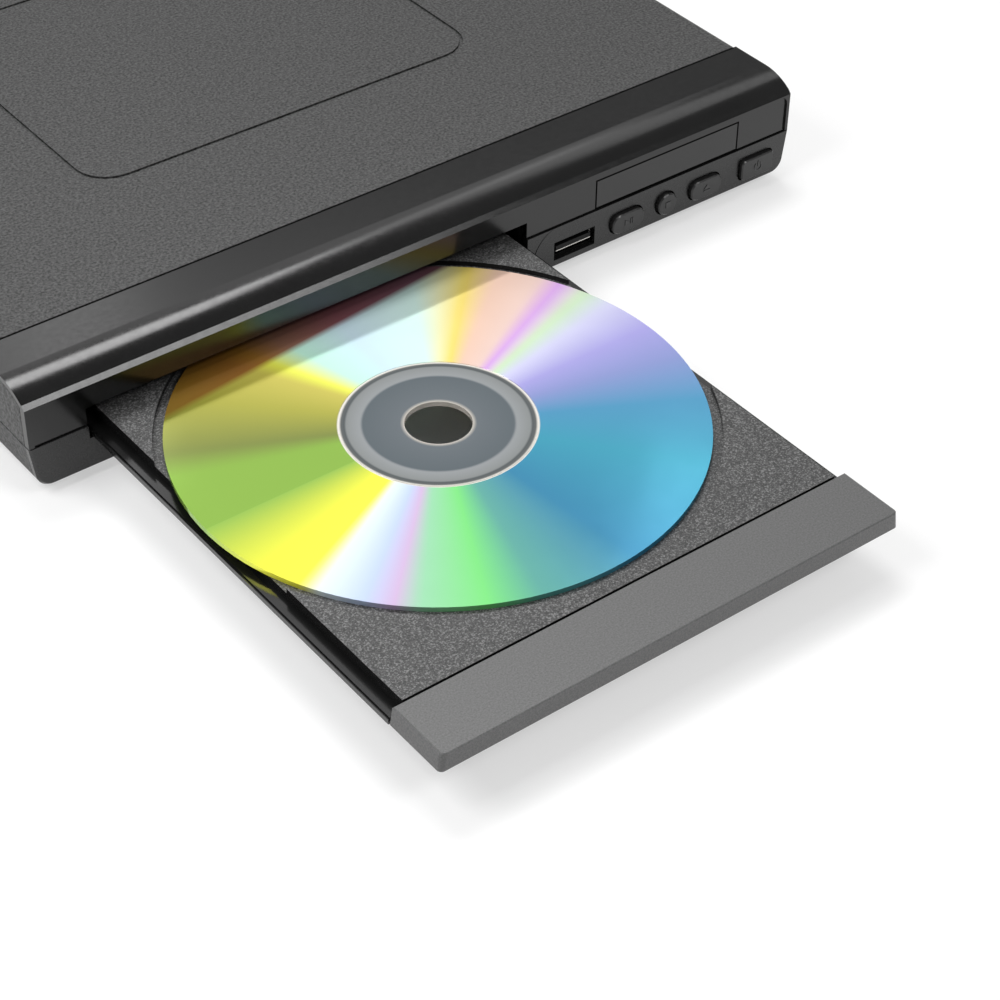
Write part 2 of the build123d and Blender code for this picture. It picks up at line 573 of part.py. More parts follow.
def front_ribbon():
    """Flat cable from the front board back to the main board, with a slack bend."""
    start_y, end_y = SWITCH_BOARD_Y + 1.6, CLOSED_Y - 25.0
    board_top = DECK_Z + BOARD_Z[1]
    path = Polyline((start_y, DECK_Z - 3), (start_y + 9, DECK_Z - 3), (start_y + 17, board_top - 2),
                    (end_y - 14, board_top - 2), (end_y - 8, DECK_Z - 3), (end_y, DECK_Z - 3), (end_y, board_top))
    return along_x(trace(path, 0.3), AXIS_X + 99, AXIS_X + 117)


# ---------------------------------------------------------------- screws
def case_screws():
    """Pan-head screws from below, through the lower casing into the cover's bosses."""
    screws = []
    for side in (-1, 1):
        for y in CASE_SCREW_Y:
            head = rod_z(side * CASE_SCREW_X, y, (CASE_Z + 1.0, CASE_Z + 2.6), 2.6, 8)
            screws.append(head + rod_z(side * CASE_SCREW_X, y, (CASE_Z + 2.6, UPPER_EDGE + 5), 1.2, 6))
    return Compound(children=screws)


def loader_screws():
    """Screws that hold the loader chassis and the boards down on their bosses."""
    screws = []
    for x, y in EAR_PLACES:
        head = rod_z(x, y, (EAR_Z[1], EAR_Z[1] + 1.6), 2.4, 6)
        screws.append(head + rod_z(x, y, (FLOOR_Z - DECK_Z, EAR_Z[1]), 0.9, 6))
    for x, y in MAIN_BOARD_POSTS + POWER_BOARD_POSTS:
        head = rod_z(x, y, (BOARD_Z[1], BOARD_Z[1] + 1.4), 2.2, 6)
        screws.append(head + rod_z(x, y, (FLOOR_Z - DECK_Z + 0.5, BOARD_Z[1]), 1.0, 6))
    return AT_SPINDLE * Compound(children=screws)


# ---------------------------------------------------------------- loader
def loader_chassis():
    """Moulded frame: base plate with window, side walls, tray rails and hooks, gear posts."""
    plan = area((-SIDE_OUT, SIDE_OUT), (CHASSIS_FRONT, CHASSIS_REAR)) - area((-45.5, 45.5), (-36.5, 96.5))
    frame = up(plan, *BASE_Z)
    for side in (-1, 1):
        x0, x1 = sorted((side * SIDE_IN, side * SIDE_OUT))
        frame += block((x0, x1), (CHASSIS_FRONT, CHASSIS_REAR), (BASE_Z[0], SIDE_TOP))
        # rail under the tray's flange, and hooks over it
        r0, r1 = sorted((side * 57.5, side * SIDE_IN))
        frame += block((r0, r1), (CHASSIS_FRONT, CHASSIS_REAR), (-6.2, -4.9))
        h0, h1 = sorted((side * 58.0, side * SIDE_IN))
        for y in (-56, -20, 36):
            frame += block((h0, h1), (y - 6, y + 6), (-2.65, -1.6))
        # posts for the clamp bridge
        p0, p1 = sorted((side * SIDE_IN, side * 66.0))
        frame += block((p0, p1), (-11, 11), (BASE_Z[0], SIDE_TOP))
        # rear pivot blocks of the traverse
        b0, b1 = sorted((side * 45.5, side * 49.0))
        frame += block((b0, b1), (PIVOT_Y - 4, PIVOT_Y + 4), (BASE_Z[0], PIVOT_Z + 3.5))
        frame -= rod_x(PIVOT_Y, PIVOT_Z, (b0 - 1, b1 + 1), POST_R + 0.08)
    for x, y in EAR_PLACES:
        inner = SIDE_OUT if x > 0 else -SIDE_OUT
        e0, e1 = sorted((inner, x + (3 if x > 0 else -3)))
        frame += block((e0, e1), (y - 3.5, y + 3.5), EAR_Z)
        frame -= rod_z(x, y, (EAR_Z[0] - 1, EAR_Z[1] + 1), 0.9, 6)
    # room for the pulley, which reaches out through the right wall
    frame -= block((53.0, 64.0), (PULLEY_Y - 11.5, PULLEY_Y + 11.5), (BASE_Z[1], -4.85))
    # gear posts
    frame += rod_z(PINION_X, PINION_Y, (BASE_Z[1], PINION_Z[1] - 0.3), POST_R, 16)
    frame += rod_z(PULLEY_X, PULLEY_Y, (BASE_Z[1], WHEEL_Z[1] - 0.1), POST_R, 16)
    # bracket of the loading motor
    arm = area((SIDE_OUT - 1, MOTOR_X + 11), (MOTOR_Y - 11, MOTOR_Y + 11))
    arm = chamfer(arm.vertices().group_by(Axis.X)[-1], 6)
    frame += up(arm - Pos(MOTOR_X, MOTOR_Y) * disk(3.2), -4.6, -3.2)
    # guides of the cam slider
    for y in (CAM_Y[0] - 0.9, CAM_Y[1] + 0.9):
        frame += block((-24, 26), (y - 0.6, y + 0.6), (BASE_Z[1], BASE_Z[1] + 0.5))
    return AT_SPINDLE * frame


def drive_gear():
    """Compound gear: wheel below, pinion above that drives the tray's rack."""
    body = up(gear(GEAR_MODULE, WHEEL_TEETH, MESH_ANGLE), *WHEEL_Z)
    body += up(gear(RACK_MODULE, PINION_TEETH, 0.0), *PINION_Z)
    body += up(disk(4.0), PULLEY_Z[0], WHEEL_Z[0])
    body -= up(disk(BORE_R, 16), PULLEY_Z[0] - 1, PINION_Z[1] + 1)
    return AT_SPINDLE * Pos(PINION_X, PINION_Y, 0) * body


def grooved_pulley(radius, rim, z, sides):
    """Pulley whose groove carries the belt at the given radius between two rims."""
    middle = sum(z) / 2
    hub = up(disk(radius, sides), *z)
    for z0, z1 in ((z[0], middle - BELT_T / 2), (middle + BELT_T / 2, z[1])):
        hub += up(disk(rim, sides), z0, z1)
    return hub


def pulley_gear():
    """Belt pulley with the small gear on top."""
    gap_towards_wheel = MESH_ANGLE + pi + pi / SMALL_TEETH
    body = grooved_pulley(BELT_BIG_R - 0.1, 10.4, PULLEY_Z, 24)
    body += up(gear(GEAR_MODULE, SMALL_TEETH, gap_towards_wheel), PULLEY_Z[1], WHEEL_Z[1])
    body -= up(disk(BORE_R, 16), PULLEY_Z[0] - 1, WHEEL_Z[1] + 1)
    return AT_SPINDLE * Pos(PULLEY_X, PULLEY_Y, 0) * body


def motor_pulley():
    """Small pulley on the loading motor's shaft."""
    body = grooved_pulley(BELT_SMALL_R - 0.1, 3.2, PULLEY_Z, 12) + up(disk(1.0, 12), PULLEY_Z[1], -1.0)
    return AT_SPINDLE * Pos(MOTOR_X, MOTOR_Y, 0) * body


def loading_motor():
    """Motor can on its bracket, with the bearing boss round the shaft."""
    can = up(disk(10.0, 24), -3.2, 8.6)
    can = chamfer(can.faces().sort_by(Axis.Z)[-1].edges(), 0.8)
    can += up(disk(3.2), -4.6, -3.2)
    can -= up(disk(1.08, 12), -5, -0.9)
    return AT_SPINDLE * Pos(MOTOR_X, MOTOR_Y, 0) * can


def drive_belt():
    """Square rubber belt round both pulleys."""
    middle = sum(PULLEY_Z) / 2
    across, along = MOTOR_X - PULLEY_X, MOTOR_Y - PULLEY_Y
    towards = atan2(along, across)
    wrap = acos((BELT_BIG_R - BELT_SMALL_R) / hypot(across, along))

    def loop(grow):
        """Round the big pulley on its far side, then round the small one."""
        points = []
        for step in range(21):
            angle = towards + wrap + (2 * pi - 2 * wrap) * step / 20
            points.append((PULLEY_X + (BELT_BIG_R + grow) * cos(angle), PULLEY_Y + (BELT_BIG_R + grow) * sin(angle)))
        for step in range(9):
            angle = towards - wrap + 2 * wrap * step / 8
            points.append((MOTOR_X + (BELT_SMALL_R + grow) * cos(angle), MOTOR_Y + (BELT_SMALL_R + grow) * sin(angle)))
        return polygon(*points)

    return AT_SPINDLE * up(loop(BELT_T) - loop(0), middle - 0.4, middle + 0.4)


def cam_slider():
    """Bar that slides across and lifts the traverse's front pin on its ramp."""
    low = PIN_Z - CAM_RISE - PIN_R - 0.1
    high = low + CAM_RISE
    foot = PIN_X - 0.1
    left, right, bottom = foot - CAM_TRAVEL - 9, foot + 18, BASE_Z[1] + 0.05
    profile = polygon((left, bottom), (right, bottom), (right, low), (foot, low),
                      (foot - CAM_TRAVEL, high), (left, high))
    return AT_SPINDLE * along_y(profile, *CAM_Y)


def traverse_plate():
    """Pressed frame that carries spindle motor, rods, lead screw and pickup."""
    outer = area((-44, 44), (-36, 92))
    outer -= area((-30, 37.5), (14, 80)) + area((28.5, 37.5), (79, 94))
    plate = up(outer, *PLATE_Z)
    plate -= up(disk(3.0), -7, -4)
    # pivot pins at the back, cam pin at the front
    for side in (-1, 1):
        p0, p1 = sorted((side * 43.0, side * 48.6))
        plate += rod_x(PIVOT_Y, PIVOT_Z, (p0, p1), POST_R)
        q0, q1 = sorted((side * 41.0, side * 44.0))
        plate += block((q0, q1), (88, PIVOT_Y + 1.4), PLATE_Z)
    plate += block((PIN_X - 2, PIN_X + 2), (-37.2, -36.0), (PLATE_Z[0], PIN_Z + PIN_R))
    plate += rod_y(PIN_X, PIN_Z, (PIN_FRONT, -36.5), PIN_R)
    # rod holders
    for x in (-ROD_X, ROD_X):
        for y in (12.6, 84.0):
            holder = block((x - 2.6, x + 2.6), (y, y + 3.4), (PLATE_Z[1], ROD_Z + 1.0))
            plate += holder
            plate -= rod_y(x, ROD_Z, ROD_Y, ROD_R)
    # front bearing of the lead screw, and the cradle of its motor
    plate += block((SCREW_X - 2.6, SCREW_X + 2.6), (11.0, 16.0), (SCREW_Z - 2.0, SCREW_Z + 2.0))
    plate -= rod_y(SCREW_X, SCREW_Z, (SCREW_Y[0] - 0.3, 17.0), SCREW_R + 0.06)
    plate += block((SCREW_X - 5, SCREW_X + 5), (83, 90), (SCREW_Z - 2.2, PLATE_Z[1]))
    plate -= rod_y(SCREW_X, SLED_MOTOR_Z, (80, 93), SLED_MOTOR_R, 16)
    return lowered(plate)


def guide_rods():
    rods = [rod_y(x, ROD_Z, ROD_Y, ROD_R) for x in (-ROD_X, ROD_X)]
    return lowered(Compound(children=rods))


def spindle_motor():
    """Flat motor under the turntable, with a bearing bore."""
    stator = up(disk(10.5, 24), PLATE_Z[1], -3.0) + up(disk(3.0), PLATE_Z[0] - 0.6, PLATE_Z[1])
    return lowered(stator - up(disk(0.81, 12), PLATE_Z[0] - 0.2, 0))


def turntable():
    """Turntable with the cone that centres the disc, on its shaft."""
    table = up(disk(14.5, 24), -2.75, SEAT_Z - 0.5)
    cone = extrude(Plane.XY.offset(SEAT_Z - 0.5) * disk(7.35, 16), 2.1, taper=28)
    return lowered(table + cone + up(disk(0.75, 12), PLATE_Z[0] - 0.1, -2.75))


def turntable_mat():
    return lowered(up(disk(14.5, 24) - disk(11.0, 24), SEAT_Z - 0.5, SEAT_Z))


def pickup():
    """Laser pickup carriage on the two rods, with the follower on the lead screw."""
    y0, y1 = LENS_Y - 8, LENS_Y + 12
    body = block((-20, 20), (y0, y1), (-6.4, -2.9))
    body = chamfer(body.edges().filter_by(Axis.Z), 2.0)
    for side in (-1, 1):
        sleeve = block((side * ROD_X - 2.4, side * ROD_X + 2.4), (y0, y1), (ROD_Z - 1.1, ROD_Z + 1.9))
        if side < 0:
            sleeve = block((-ROD_X - 2.4, -ROD_X + 2.4), (LENS_Y - 2, LENS_Y + 4), (ROD_Z - 1.1, ROD_Z + 1.9))
        body += sleeve
    body += block((ROD_X, SCREW_X + 2.6), (LENS_Y, LENS_Y + 6), (SCREW_Z - 1.9, SCREW_Z + 1.9))
    for side in (-1, 1):
        body -= rod_y(side * ROD_X, ROD_Z, (y0 - 1, y1 + 1), ROD_R + 0.06)
    body -= rod_y(SCREW_X, SCREW_Z, (y0 - 1, y1 + 1), SCREW_R + 0.08)
    body -= up(Pos(0, LENS_Y) * disk(4.2), -4.0, 0)
    return lowered(body)


def pickup_lens():
    """Objective lens in its round holder."""
    holder = up(Pos(0, LENS_Y) * disk(3.6), -4.0, -2.8)
    dome = extrude(Plane.XY.offset(-2.8) * Pos(0, LENS_Y) * disk(2.0, 12), 0.5, taper=45)
    return lowered(holder + dome)


def lead_screw():
    """Screw that moves the pickup, drawn without its thread."""
    return lowered(rod_y(SCREW_X, SCREW_Z, SCREW_Y, SCREW_R))


def sled_motor():
    """Small motor at the back end of the lead screw, with the screw's far bearing."""
    can = rod_y(SCREW_X, SLED_MOTOR_Z, (80.6, 92.6), SLED_MOTOR_R, 16)
    can = chamfer(can.faces().sort_by(Axis.Y)[-1].edges(), 0.6)
    can -= rod_y(SCREW_X, SCREW_Z, (80.0, SCREW_Y[1] + 0.5), SCREW_R + 0.06)
    return lowered(can)


def clamp_bridge():
    """Pressed bridge over the tray that holds the clamp above the spindle."""
    plan = area((-64.5, 64.5), (-10, 10)) + disk(19.0, 24)
    bridge = up(plan - disk(8.8, 24), SIDE_TOP, SIDE_TOP + 0.8)
    for y in (-10, 9.2):
        for side in (-1, 1):
            x0, x1 = sorted((side * 20, side * 60))
            bridge += block((x0, x1), (y, y + 0.8), (SIDE_TOP, SIDE_TOP + 3.0))
    return AT_SPINDLE * bridge


def clamp_puck():
    """Clamp disc that hangs by its upper flange in the bridge."""
    flange_z = SIDE_TOP + 0.8 + 0.1
    puck = up(disk(14.0, 16), 1.2, 3.2) + up(disk(8.2, 16), 3.2, flange_z)
    puck += up(disk(11.5, 16), flange_z, flange_z + 1.2)
    return AT_SPINDLE * (puck - up(disk(7.9, 16), 1.0, 2.0))


# ---------------------------------------------------------------- tray and disc
def rack_outline():
    """Toothed bar under the tray: one tooth gap faces the pinion's tooth with the tray out."""
    pitch = pi * RACK_MODULE
    root, tip = RACK_X + 1.25 * RACK_MODULE, RACK_X - RACK_MODULE
    half = (pitch / 2 - BACKLASH) / 2
    mesh_y = PINION_Y + TRAY_TRAVEL
    points = [(root + 2.2, DECK_FRONT)]
    first = int((DECK_FRONT - mesh_y) / pitch) + 1
    teeth = range(first, int((DECK_REAR - mesh_y) / pitch) - 0)
    lean_tip, lean_root = tan(PRESSURE) * RACK_MODULE, tan(PRESSURE) * 1.25 * RACK_MODULE
    points.append((root, DECK_FRONT))
    for tooth in teeth:
        y = mesh_y + (tooth + 0.5) * pitch
        points += [(root, y - half - lean_root), (tip, y - half + lean_tip)]
        points += [(tip, y + half - lean_tip), (root, y + half + lean_root)]
    points += [(root, DECK_REAR), (root + 2.2, DECK_REAR)]
    return polygon(*points)


def disc_tray():
    """Tray: deck with stepped disc recess, spindle window, side flanges and the rack underneath."""
    plan = area((-DECK_HALF, DECK_HALF), (DECK_FRONT, DECK_REAR))
    plan = fillet(plan.vertices().group_by(Axis.Y)[-1], 5.0)
    tray = up(plan, TRAY_UNDER, 0)
    # thin the corners outside the recess from below
    pocket = area((-55.3, 55.3), (DECK_FRONT + 1.6, DECK_REAR - 1.6)) - disk(RECESS_R + 2.0, 32)
    tray -= up(pocket, TRAY_UNDER - 1, -1.8)
    # side walls and the flanges that run in the chassis
    flange = polygon((55.3, TRAY_BOTTOM), (RAIL_HALF, TRAY_BOTTOM), (RAIL_HALF, TRAY_UNDER - RAIL_STEP),
                     (RAIL_LEDGE, TRAY_UNDER - RAIL_STEP), (RAIL_LEDGE, TRAY_UNDER), (55.3, TRAY_UNDER))
    rail = along_y(flange, DECK_FRONT, DECK_REAR - 5)
    tray += rail + mirror(rail, Plane.YZ)
    tray += up(rack_outline(), TRAY_BOTTOM, -1.8)
    # front wall, left out where it would pass the pinion
    for x in ((-RAIL_LEDGE, PINION_X - 10), (RACK_X + 2, RAIL_LEDGE)):
        tray += block(x, (DECK_FRONT, DECK_FRONT + 1.6), (-4.2, TRAY_UNDER))
    # disc recess: rim for the large disc, relief inside it, and the small disc's step
    tray -= up(Circle(RECESS_R), RECESS_FLOOR, 1)
    tray -= up(disk(57.0, 32), -1.6, 1)
    tray -= up(disk(41.0, 32), -2.0, 1)
    # window for spindle and pickup, bridged at the back by a thin strip
    window = disk(22.0, 20) + area((-WINDOW_HALF, WINDOW_HALF), (12.0, WINDOW_REAR))
    tray -= up(window, TRAY_BOTTOM - 1, 1)
    tray -= block((-WINDOW_HALF, WINDOW_HALF), (50, DECK_REAR + 1), (TRAY_BOTTOM - 1, RECESS_FLOOR))
    for x in LIP_TABS:
        tray += block((x - 6, x + 6), (LIP_REAR - 2.4, DECK_FRONT), (-3.2, -1.6))
    return AT_DISC * tray


def tray_front():
    """Flat front bar of the tray, flared at the ends, ribbed underneath."""
    wide = LIP_HALF + LIP_FLARE
    section = polygon((-LIP_HALF, 0), (-wide, -LIP_T), (wide, -LIP_T), (LIP_HALF, 0))
    bar = along_y(section, LIP_FRONT, LIP_REAR)
    ends = bar.faces().sort_by(Axis.Y)[0].edges().sort_by(Axis.X)
    bar = fillet([ends[0], ends[-1]], 1.2)
    bar = chamfer(bar.faces().sort_by(Axis.Z)[-1].edges(), 0.25)
    for column in range(4):
        x = -43.5 + 29.0 * column
        bar -= block((x - 13.7, x + 13.7), (LIP_FRONT + 1.8, LIP_REAR - 4.4), (-LIP_T - 1, -1.6))
    for x in LIP_TABS:
        bar -= block((x - 6, x + 6), (LIP_REAR - 2.4, LIP_REAR + 1), (-3.2, -1.6))
    # the pinion stands close behind the bar with the tray in
    bar -= block((PINION_X - 10, PINION_X + 10), (LIP_REAR - 4.6, LIP_REAR + 1), (-LIP_T - 1, -3.0))
    return AT_DISC * bar


def disc():
    """Optical disc with the moulded groove round its hub."""
    body = up(Circle(DISC_R) - Circle(DISC_HOLE), -DISC_T, 0)
    body -= up(disk(22.3, 40) - disk(21.9, 40), -0.12, 1)
    return AT_DISC * body


PIECES = {
    "front_bezel": front_bezel, "display_window": display_window, "top_cover": top_cover,
    "bottom_case": bottom_case, "feet": feet, "control_panel": control_panel,
    "rear_panel": rear_panel, "av_jack_housing": av_jack_housing, "av_jack_sleeves": av_jack_sleeves,
    "usb_shell": usb_shell, "usb_tongue": usb_tongue, "hdmi_shell": hdmi_shell,
    "hdmi_tongue": hdmi_tongue, "power_inlet": power_inlet, "inlet_pins": inlet_pins,
    "front_board": front_board, "tact_switches": tact_switches, "display_module": display_module,
    "remote_receiver": remote_receiver, "main_board": main_board, "power_board": power_board,
    "chips": chips, "capacitors": capacitors, "transformer": transformer, "front_ribbon": front_ribbon,
    "case_screws": case_screws, "loader_screws": loader_screws, "loader_chassis": loader_chassis,
    "drive_gear": drive_gear, "pulley_gear": pulley_gear, "motor_pulley": motor_pulley,
    "loading_motor": loading_motor, "drive_belt": drive_belt, "cam_slider": cam_slider,
    "traverse_plate": traverse_plate, "guide_rods": guide_rods, "spindle_motor": spindle_motor,
    "turntable": turntable, "turntable_mat": turntable_mat, "pickup": pickup,
    "pickup_lens": pickup_lens, "lead_screw": lead_screw, "sled_motor": sled_motor,
    "clamp_bridge": clamp_bridge, "clamp_puck": clamp_puck, "disc_tray": disc_tray,
    "tray_front": tray_front, "disc": disc,
}

for piece_name, make in PIECES.items():
    save(piece_name, make())
save("lower_fascia", lower_front(False))
for button_name in BUTTONS:
    save(button_name, button(button_name))
for insert_name in JACKS:
    save(insert_name, jack_insert(insert_name))
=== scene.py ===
import math

import bmesh
import bpy
from mathutils import Euler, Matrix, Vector


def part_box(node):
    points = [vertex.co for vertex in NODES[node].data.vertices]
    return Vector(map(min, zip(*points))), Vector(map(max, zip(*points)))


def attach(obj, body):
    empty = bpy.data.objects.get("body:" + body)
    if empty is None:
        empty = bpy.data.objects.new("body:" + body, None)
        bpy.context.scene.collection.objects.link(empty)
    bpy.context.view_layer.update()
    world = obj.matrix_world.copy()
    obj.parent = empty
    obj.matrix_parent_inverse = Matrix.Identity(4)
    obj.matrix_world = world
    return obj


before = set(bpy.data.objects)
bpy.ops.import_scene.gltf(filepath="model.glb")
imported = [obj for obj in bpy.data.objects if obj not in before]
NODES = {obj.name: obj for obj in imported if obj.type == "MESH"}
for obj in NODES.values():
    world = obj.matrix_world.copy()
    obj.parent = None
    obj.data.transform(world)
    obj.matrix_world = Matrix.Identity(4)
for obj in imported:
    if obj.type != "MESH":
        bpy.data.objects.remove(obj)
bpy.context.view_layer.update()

# Sizes and places in metres, in the CAD's frame.
MM = 0.001
DISC_CENTRE = (-0.0353, -0.08185, 0.0)    # the disc's axis with the tray out
DISC_R = 0.060
DECK_Z = 0.0156                           # top of the tray deck
DECK_DEPTH = 0.0020                       # how far below it the deck's grain reaches
BUTTON_Y = -0.03675                       # faces of the four buttons
BUTTON_Z = 0.0077
PLAY_X, STOP_X, EJECT_X, POWER_X = 0.0569, 0.0697, 0.0826, 0.1000
MARK_RISE = 0.00014                       # how far a mark stands off its button
MARK_ROOT = 0.0001                        # how far it reaches into the button
WINDOW_SHADE_W = 0.00044                        # width of the painted shade line round the window
SEAM_SHADE_W = 0.00032                          # width of the painted shade line behind the bezel
SEAM_LOW = 0.0145                         # corners lower than this are left out of that line
PROUD = 0.00003                           # how far either line stands off its face
SOCKET_X, TONGUE_HALF = 0.0404, 0.0054    # middle of the front socket, half its tongue
TONGUE_Y, TIP_Y = -0.03345, -0.0350       # front of the tongue's root, and of its tip
TONGUE_Z = (0.00678, 0.00808)             # under and upper side of the tip
EDGE_T = 0.00022                          # thickness of the bright edge under it


# ---------------------------------------------------------------- shader helpers
def grey(value):
    return (value, value, value)


def tone(red, green, blue):
    """A colour given as it shows on a screen, 0 to 255, made linear."""
    return tuple(((c / 255.0 + 0.055) / 1.055) ** 2.4 for c in (red, green, blue))


def add(mat, kind, **sockets):
    node = mat.node_tree.nodes.new(kind)
    for name, value in sockets.items():
        node.inputs[name.replace("_", " ")].default_value = value
    return node


def link(mat, source, target):
    mat.node_tree.links.new(source, target)


def principled(mat):
    return mat.node_tree.nodes["Principled BSDF"]


def material(name, color, roughness, metallic=0.0, specular=0.5):
    mat = bpy.data.materials.new(name)
    mat.use_nodes = True
    inputs = principled(mat).inputs
    inputs["Base Color"].default_value = (*color, 1.0)
    inputs["Roughness"].default_value = roughness
    inputs["Metallic"].default_value = metallic
    inputs["Specular IOR Level"].default_value = specular
    return mat


def object_coords(mat):
    return add(mat, "ShaderNodeTexCoord").outputs["Object"]


def noise(mat, scale, detail=2.0, stretch=(1.0, 1.0, 1.0)):
    """Noise over the object's own coordinates, in cells per metre."""
    mapping = add(mat, "ShaderNodeMapping", Scale=stretch)
    texture = add(mat, "ShaderNodeTexNoise", Scale=scale, Detail=detail, Roughness=0.6)
    link(mat, object_coords(mat), mapping.inputs["Vector"])
    link(mat, mapping.outputs["Vector"], texture.inputs["Vector"])
    return texture.outputs["Fac"]


def ramp(mat, factor, stops):
    node = add(mat, "ShaderNodeValToRGB")
    elements = node.color_ramp.elements
    elements.remove(elements[-1])
    elements[0].position, elements[0].color = stops[0][0], (*stops[0][1], 1.0)
    for position, color in stops[1:]:
        elements.new(position).color = (*color, 1.0)
    link(mat, factor, node.inputs["Fac"])
    return node.outputs["Color"]


def spread(mat, value, low, high, start=0.3, end=0.7):
    """Map start..end of a value to low..high, held at both ends."""
    node = add(mat, "ShaderNodeMapRange", From_Min=start, From_Max=end, To_Min=low, To_Max=high)
    link(mat, value, node.inputs["Value"])
    return node.outputs["Result"]


def math_node(mat, operation, first, second=None):
    node = add(mat, "ShaderNodeMath")
    node.operation = operation
    link(mat, first, node.inputs[0])
    if isinstance(second, float):
        node.inputs[1].default_value = second
    elif second is not None:
        link(mat, second, node.inputs[1])
    return node.outputs["Value"]


def separate(mat, vector):
    node = add(mat, "ShaderNodeSeparateXYZ")
    link(mat, vector, node.inputs["Vector"])
    return node.outputs


def distance_from(mat, centre, scale=(1.0, 1.0, 1.0)):
    """The vector from a point in the object's own coordinates, and its length."""
    shifted = add(mat, "ShaderNodeMapping", Location=tuple(-c for c in centre), Scale=scale)
    length = add(mat, "ShaderNodeVectorMath")
    length.operation = "LENGTH"
    link(mat, object_coords(mat), shifted.inputs["Vector"])
    link(mat, shifted.outputs["Vector"], length.inputs[0])
    return shifted.outputs["Vector"], length.outputs["Value"]


def mix_color(mat, factor, first, second):
    node = add(mat, "ShaderNodeMix")
    node.data_type = "RGBA"
    link(mat, factor, node.inputs["Factor"])
    for name, value in (("A", first), ("B", second)):
        target = [s for s in node.inputs if s.name == name and s.type == "RGBA"][0]
        if isinstance(value, tuple):
            target.default_value = (*value, 1.0)
        else:
            link(mat, value, target)
    return [s for s in node.outputs if s.type == "RGBA"][0]


def bump(mat, height, strength, distance):
    node = add(mat, "ShaderNodeBump", Distance=distance)
    if isinstance(strength, float):
        node.inputs["Strength"].default_value = strength
    else:
        link(mat, strength, node.inputs["Strength"])
    link(mat, height, node.inputs["Height"])
    link(mat, node.outputs["Normal"], principled(mat).inputs["Normal"])


# ---------------------------------------------------------------- materials
GRAIN_DEPTH = 0.00006


def grained(name, low, high, roughness, scale, strength):
    """Spark-eroded moulded plastic: fine grain in colour, roughness and height."""
    mat = material(name, high, roughness)
    inputs = principled(mat).inputs
    grain = noise(mat, scale, 3.0)
    link(mat, ramp(mat, grain, [(0.34, low), (0.66, high)]), inputs["Base Color"])
    link(mat, spread(mat, grain, roughness + 0.1, roughness - 0.08), inputs["Roughness"])
    bump(mat, grain, strength, GRAIN_DEPTH)
    return mat


def smooth(name, low, high, roughness, specular=0.5):
    """Polished or satin plastic: faint mottling and a trace of unevenness."""
    mat = material(name, high, roughness, specular=specular)
    inputs = principled(mat).inputs
    fine = noise(mat, 700.0)
    link(mat, ramp(mat, noise(mat, 60.0, 4.0), [(0.3, low), (0.7, high)]), inputs["Base Color"])
    link(mat, spread(mat, fine, roughness - 0.02, roughness + 0.03), inputs["Roughness"])
    bump(mat, fine, 0.03, 0.00002)
    return mat


def metal(name, low, high, roughness, stretch=(1.0, 1.0, 1.0)):
    """Plated or brushed metal, streaked along one axis."""
    mat = material(name, high, roughness, metallic=1.0)
    inputs = principled(mat).inputs
    streak = noise(mat, 500.0, 4.0, stretch)
    link(mat, ramp(mat, streak, [(0.3, low), (0.7, high)]), inputs["Base Color"])
    link(mat, spread(mat, streak, roughness - 0.05, roughness + 0.1), inputs["Roughness"])
    bump(mat, streak, 0.08, 0.00003)
    return mat


def tray_plastic():
    """Sparkling grain on the deck's upper faces, polished black on its walls and rails."""
    mat = material("tray_deck_grain", grey(0.1), 0.4)
    inputs = principled(mat).inputs
    coords = add(mat, "ShaderNodeTexCoord")
    place = separate(mat, coords.outputs["Object"])
    facing = separate(mat, coords.outputs["Normal"])
    bottom = DECK_Z - DECK_DEPTH
    high = spread(mat, place["Z"], 0.0, 1.0, bottom - 0.0001, bottom + 0.0001)
    level = spread(mat, facing["Z"], 0.0, 1.0, 0.80, 0.95)
    deck = math_node(mat, "MULTIPLY", high, level)
    grain = noise(mat, 2600.0, 3.0)
    sparkle = ramp(mat, grain, [(0.34, grey(0.01)), (0.52, grey(0.05)), (0.68, grey(0.2))])
    link(mat, mix_color(mat, deck, grey(0.006), sparkle), inputs["Base Color"])
    link(mat, spread(mat, deck, 0.16, 0.5, 0.0, 1.0), inputs["Roughness"])
    bump(mat, grain, spread(mat, deck, 0.02, 0.6, 0.0, 1.0), GRAIN_DEPTH)
    return mat


# Painted diffraction sheen: the rainbow the disc's grooves throw back from the lamps, painted by angle
# round its axis, in degrees from +X, as (angle, colour).
PAINTED_DIFFRACTION_SHEEN = [
    (0, (170, 165, 228)), (12, (215, 215, 246)), (19, (210, 238, 196)), (22, (226, 210, 226)),
    (25, (220, 170, 240)), (30, (242, 212, 202)), (40, (246, 208, 186)), (47, (252, 228, 110)),
    (53, (246, 244, 190)), (60, (224, 255, 246)), (85, (214, 240, 252)), (104, (204, 255, 232)),
    (113, (246, 250, 90)), (119, (206, 196, 88)), (135, (176, 174, 70)), (154, (128, 140, 66)),
    (162, (140, 182, 70)), (186, (158, 200, 88)), (197, (246, 246, 72)), (206, (250, 246, 76)),
    (210, (236, 250, 255)), (219, (200, 218, 250)), (225, (216, 188, 226)), (230, (160, 222, 180)),
    (243, (128, 230, 130)), (254, (96, 172, 160)), (267, (78, 152, 170)), (276, (50, 134, 172)),
    (310, (56, 156, 182)), (332, (74, 150, 190)), (348, (140, 152, 208)),
]
COLOR_LEVEL = 0.92                        # how much of its light the disc gives back
# Painted reflection of the body: towards it the disc's outer edge turns red, from its left to its
# right, by x in mm.
PAINTED_BODY_REFLECTION = [(-50, (146, 112, 36)), (-20, (150, 84, 40)), (5, (142, 50, 58)), (36, (118, 46, 88))]
REFLECTION_Y, REFLECTION_SLOPE = 0.0425, 0.12         # where that painted reflection starts, and its slope along x
